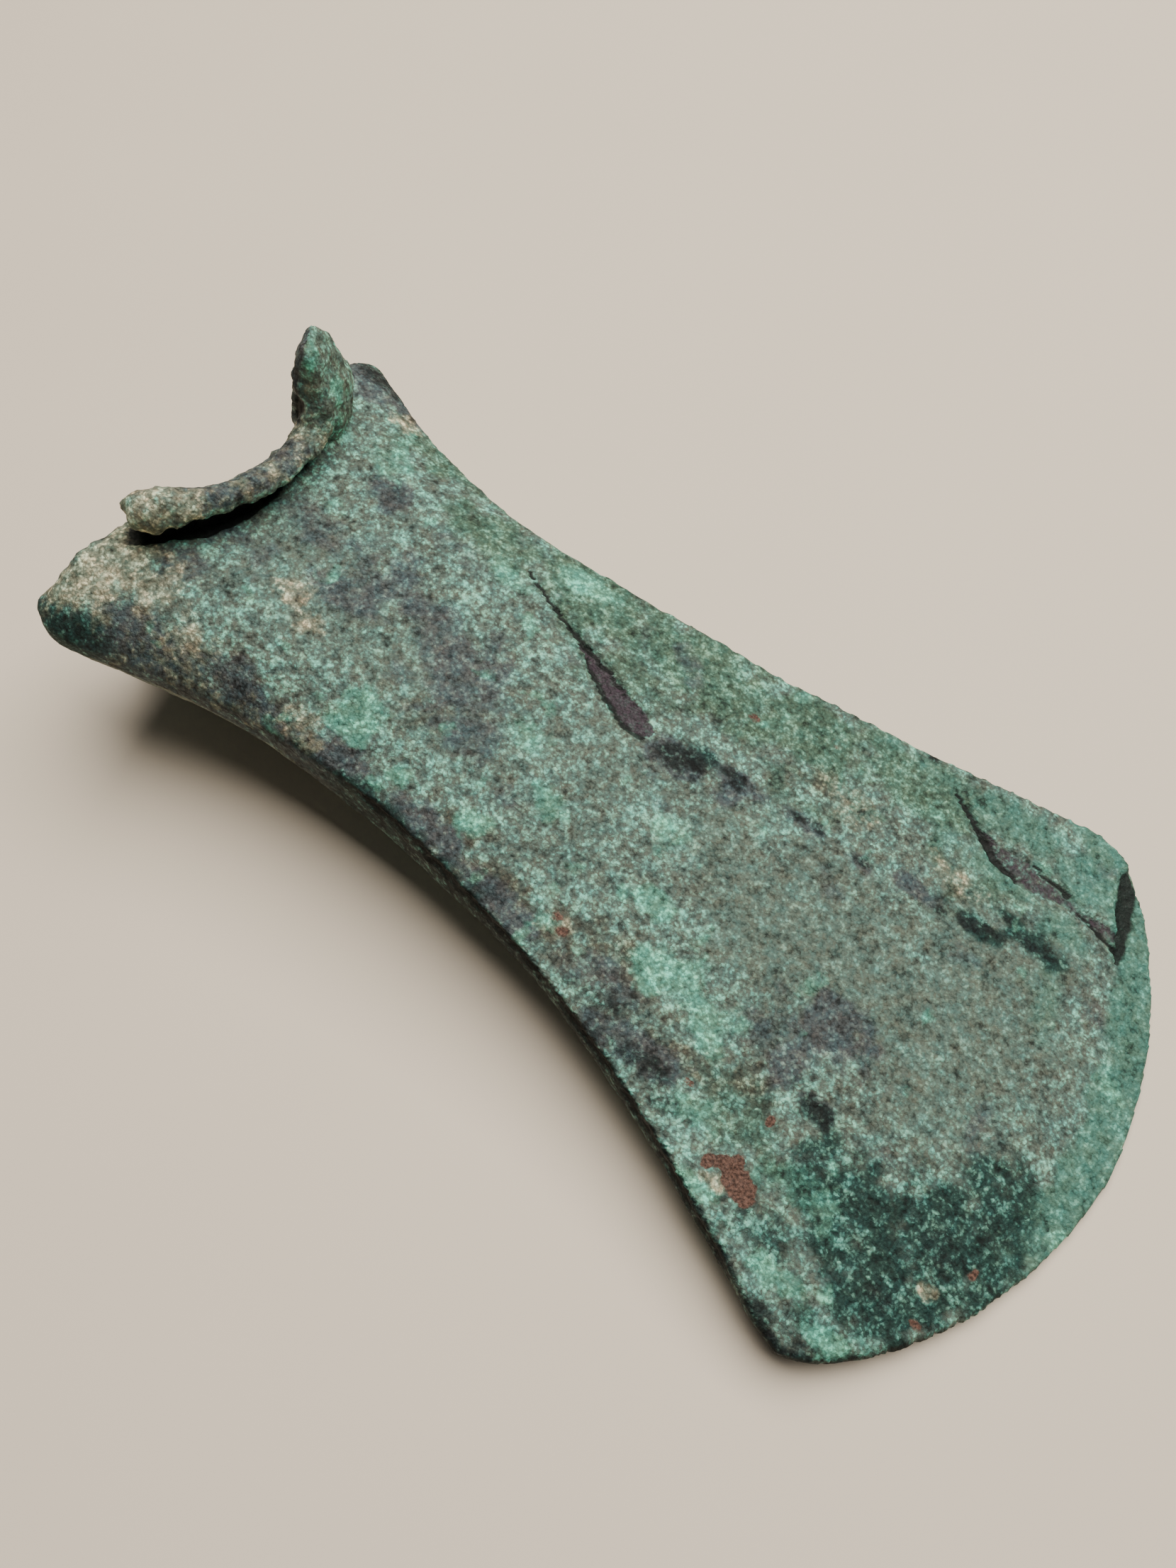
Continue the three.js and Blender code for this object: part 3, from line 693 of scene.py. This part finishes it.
def new_group(name, values, outputs):
    """A shader node group that takes a point and these values, and its input and output sockets."""
    tree = bpy.data.node_groups.new(name, "ShaderNodeTree")
    tree.interface.new_socket("Point", in_out="INPUT", socket_type="NodeSocketVector")
    for label, value in values.items():
        tree.interface.new_socket(label, in_out="INPUT", socket_type="NodeSocketFloat").default_value = value
    for label in outputs:
        tree.interface.new_socket(label, in_out="OUTPUT", socket_type="NodeSocketFloat")
    nodes = Nodes(tree)
    return tree, nodes, nodes.add("NodeGroupInput").outputs, nodes.add("NodeGroupOutput").inputs


def ragged_group():
    """Gives a patch a ragged, grainy edge."""
    values = {"Mask": 0.0, "Size": 900.0, "Raggedness": 0.5, "Softness": 0.15}
    tree, nodes, given, made = new_group("ragged_patch", values, ("Mask",))
    wander = nodes.maths("SUBTRACT", nodes.noise(given["Point"], given["Size"]), 0.5)
    held = nodes.maths("MULTIPLY", given["Raggedness"], nodes.span(given["Mask"], 0.0, 0.4))
    field = nodes.maths("ADD", given["Mask"], nodes.maths("MULTIPLY", wander, held))
    low = nodes.maths("SUBTRACT", 0.5, given["Softness"])
    high = nodes.maths("ADD", 0.5, given["Softness"])
    tree.links.new(nodes.span(field, low, high), made["Mask"])
    return tree


def grain_group():
    """The patina's grain, from 0 in its pits to 1 on its crests, each grain's warmth, and fine specks."""
    values = {"Grain": 2100.0, "Crust": 760.0, "Drift": 150.0}
    tree, nodes, given, made = new_group("patina_grain", values, ("Height", "Warmth", "Speck"))
    point = given["Point"]
    bend = nodes.add("ShaderNodeTexNoise", {"Vector": point, "Scale": given["Grain"], "Detail": 1.0})
    bent = nodes.scale(bend.outputs["Color"], GRAIN_BEND)
    moved = nodes.add("ShaderNodeVectorMath", {0: point, 1: bent}, operation="ADD")
    cell = nodes.add("ShaderNodeTexVoronoi", {"Vector": moved.outputs[0], "Scale": given["Grain"]})
    chance = nodes.add("ShaderNodeSeparateColor", {0: cell.outputs["Color"]})
    folds = nodes.maths("ABSOLUTE", nodes.maths("SUBTRACT", nodes.noise(point, 600.0, 2.0, 0.5), 0.5))
    parts = (
        (nodes.noise(point, given["Crust"], 5.0, 0.65), 0.5, 2.5),
        (nodes.noise(point, given["Drift"], 3.0, 0.6), 0.5, 1.2),
        (chance.outputs[0], 0.5, 0.5),
        (cell.outputs["Distance"], 0.42, -0.45),
        (folds, 0.08, -2.0),
    )
    height = 0.5
    for field, middle, weight in parts:
        lift = nodes.maths("MULTIPLY", nodes.maths("SUBTRACT", field, middle), weight)
        height = nodes.maths("ADD", height, lift)
    tree.links.new(height, made["Height"])
    blotch = nodes.span(nodes.noise(point, 420.0, 3.0), 0.35, 0.65, 0.0, 0.6, "LINEAR")
    warmth = nodes.maths("ADD", blotch, nodes.maths("MULTIPLY", chance.outputs[1], 0.4))
    tree.links.new(warmth, made["Warmth"])
    tree.links.new(nodes.noise(point, 2900.0, 2.0), made["Speck"])
    return tree


def patina_material(sizes):
    """Mint grains on grey-green, with slate, teal, turquoise, cream and bare copper patches."""
    material = bpy.data.materials.new("patina")
    material.use_nodes = True
    tree = material.node_tree
    tree.nodes.clear()
    nodes = Nodes(tree)
    point = nodes.add("ShaderNodeTexCoord").outputs["Object"]
    grit = nodes.add("ShaderNodeGroup", {"Point": point}, node_tree=grain_group())
    ragged = ragged_group()

    def layer(name, size, raggedness, softness):
        held = nodes.add("ShaderNodeAttribute", attribute_name=name).outputs["Fac"]
        values = {"Point": point, "Mask": held, "Size": size, "Raggedness": raggedness, "Softness": softness}
        return nodes.add("ShaderNodeGroup", values, node_tree=ragged).outputs["Mask"]

    body, grain, height = tuple(sizes.body), tuple(sizes.grain), grit.outputs["Height"]
    for name, size, raggedness, softness, strength, lift in REGIONS:
        share = nodes.maths("MULTIPLY", layer(name, size, raggedness, softness), strength)
        body = nodes.mix(share, body, tuple(getattr(sizes, "body_" + name)))
        grain = nodes.mix(share, grain, tuple(getattr(sizes, "grain_" + name)))
        height = nodes.maths("ADD", height, nodes.maths("MULTIPLY", share, lift))
    # Painted light on the grain: darker in its pits, partly painted shade, and lighter on its crests as
    # painted glints
    pits = nodes.span(height, -0.1, 0.36, 0.5, 1.0)
    deep_pits = nodes.span(height, -0.4, -0.05, 0.4, 1.0)
    crests = nodes.span(height, 0.80, 1.15, 1.0, 1.55)
    light = nodes.maths("MULTIPLY", nodes.maths("MULTIPLY", pits, deep_pits), crests)
    base = nodes.scale(nodes.mix(nodes.span(height, 0.36, 1.05), body, grain), light)
    tint = nodes.mix(grit.outputs["Warmth"], COOL_TINT, WARM_TINT)
    base = nodes.add("ShaderNodeVectorMath", {0: base, 1: tint}, operation="MULTIPLY").outputs[0]

    # Painted highlight along the near side's lower edge
    rim = layer("rim", 500, 0.9, 0.35)
    copper = layer("copper", 900, 0.7, 0.12)
    scar = layer("scar", 1000, 0.6, 0.2)
    # Painted shade: near-black in the cracks, the gap before the lip, the near groove and the notch
    crevice = layer("crevice", 1000, 0.5, 0.3)
    speck = nodes.span(grit.outputs["Speck"], 0.35, 0.68, 0.45, 1.9, "LINEAR")
    base = nodes.mix(nodes.maths("MULTIPLY", rim, 0.6), base, RIM_HIGHLIGHT_TONE)
    base = nodes.mix(copper, base, nodes.scale(tuple(sizes.copper)[:3], speck))
    base = nodes.mix(nodes.maths("MULTIPLY", scar, 0.93), base, nodes.scale(tuple(sizes.scar)[:3], speck))
    base = nodes.mix(nodes.maths("MULTIPLY", crevice, 0.95), base, CREVICE_SHADE_TONE)

    bump = nodes.add("ShaderNodeBump", {"Strength": 0.8, "Distance": BUMP_HEIGHT, "Height": height})
    shader = nodes.add("ShaderNodeBsdfPrincipled", {"Base Color": base, "Normal": bump.outputs[0]})
    tree.links.new(nodes.span(height, 0.2, 0.9, 0.75, 0.5, "LINEAR"), shader.inputs["Roughness"])
    shader.inputs["Specular IOR Level"].default_value = 0.3
    out = nodes.add("ShaderNodeOutputMaterial", {"Surface": shader.outputs[0]})
    out.is_active_output = True
    return material


def floor_material(tone):
    """A smooth, matt, pale floor with the faintest mottling."""
    material = bpy.data.materials.new("floor")
    material.use_nodes = True
    nodes = Nodes(material.node_tree)
    shader = material.node_tree.nodes["Principled BSDF"]
    point = nodes.add("ShaderNodeTexCoord").outputs["Object"]
    share = nodes.span(nodes.noise(point, 9.0, 2.0), 0.3, 0.7, 0.0, 1.0, "LINEAR")
    darker = tuple(0.97 * c for c in tone[:3]) + (1,)
    material.node_tree.links.new(nodes.mix(share, darker, tuple(tone)), shader.inputs["Base Color"])
    shader.inputs["Roughness"].default_value = 0.6
    return material


class AXE_OT_head(bpy.types.Operator):
    """Build the weathered axe head over its solid"""

    bl_idname = "axe.head"
    bl_label = "Axe Head"

    def execute(self, context):
        sizes = context.scene.axe_head
        head = cast_mesh(sizes)
        weather_mesh(head.data, sizes)
        head.data.materials.clear()
        head.data.materials.append(patina_material(sizes))
        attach(head, "root")
        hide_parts("axe_head")
        return {"FINISHED"}


def area_light(name, place, size, power, tone):
    """A soft rectangular light at a place, turned to the head; all in metres."""
    lamp = bpy.data.lights.new(name, "AREA")
    lamp.shape = "RECTANGLE"
    lamp.size, lamp.size_y = size
    lamp.energy = power
    lamp.color = tone
    light = bpy.data.objects.new(name, lamp)
    light.location = place
    light.rotation_euler = (-place).to_track_quat("-Z", "Y").to_euler()
    bpy.context.scene.collection.objects.link(light)


class AXE_OT_stage(bpy.types.Operator):
    """Lay the floor, the lights and the camera"""

    bl_idname = "axe.stage"
    bl_label = "Floor, Lights and Camera"

    def execute(self, context):
        stage = context.scene.axe_stage
        ground = bmesh.new()
        bmesh.ops.create_grid(ground, x_segments=1, y_segments=1, size=FLOOR_HALF)
        mesh = bpy.data.meshes.new("floor")
        ground.to_mesh(mesh)
        ground.free()
        mesh.materials.append(floor_material(stage.floor))
        floor = bpy.data.objects.new("floor", mesh)
        context.scene.collection.objects.link(floor)

        turn = Matrix.Rotation(stage.heading, 4, "Z")
        area_light("overhead", turn @ Vector(OVERHEAD_PLACE), OVERHEAD_SIZE, OVERHEAD_POWER, OVERHEAD_TONE)
        world = bpy.data.worlds.new("soft_room")
        world.use_nodes = True
        room = world.node_tree.nodes["Background"]
        room.inputs["Color"].default_value = ROOM_TONE
        room.inputs["Strength"].default_value = ROOM_STRENGTH
        context.scene.world = world

        lens = bpy.data.cameras.new("camera")
        lens.sensor_fit = "VERTICAL"
        lens.sensor_height = SENSOR_HEIGHT
        lens.lens = stage.lens
        lens.clip_start = CLIP_START
        camera = bpy.data.objects.new("camera", lens)
        look = Matrix.Rotation(math.pi / 2 - stage.pitch, 4, "X") @ Matrix.Rotation(stage.roll, 4, "Z")
        place = Matrix.Translation((stage.camera_x, stage.camera_y, stage.camera_z))
        camera.matrix_world = place @ turn @ look
        context.scene.collection.objects.link(camera)
        context.scene.camera = camera
        return {"FINISHED"}


class AXE_PT_panel(bpy.types.Panel):
    """Lists the settings and the operators"""

    bl_label = "Axe Head"
    bl_idname = "AXE_PT_panel"
    bl_space_type = "VIEW_3D"
    bl_region_type = "UI"
    bl_category = "Axe Head"

    def draw(self, context):
        layout = self.layout
        scene = context.scene
        for operator, settings in ((AXE_OT_head, scene.axe_head), (AXE_OT_stage, scene.axe_stage)):
            box = layout.box()
            for name in settings.bl_rna.properties.keys():
                if name not in {"rna_type", "name"}:
                    box.prop(settings, name)
            box.operator(operator.bl_idname)


CLASSES = (AxeHeadSettings, AxeStageSettings, AXE_OT_head, AXE_OT_stage, AXE_PT_panel)


def register():
    for cls in CLASSES:
        bpy.utils.register_class(cls)
    bpy.types.Scene.axe_head = PointerProperty(type=AxeHeadSettings)
    bpy.types.Scene.axe_stage = PointerProperty(type=AxeStageSettings)


def unregister():
    del bpy.types.Scene.axe_head
    del bpy.types.Scene.axe_stage
    for cls in reversed(CLASSES):
        bpy.utils.unregister_class(cls)


def main():
    register()
    bpy.ops.axe.head()
    bpy.ops.axe.stage()
    bpy.context.view_layer.update()


if __name__ == "__main__":
    main()
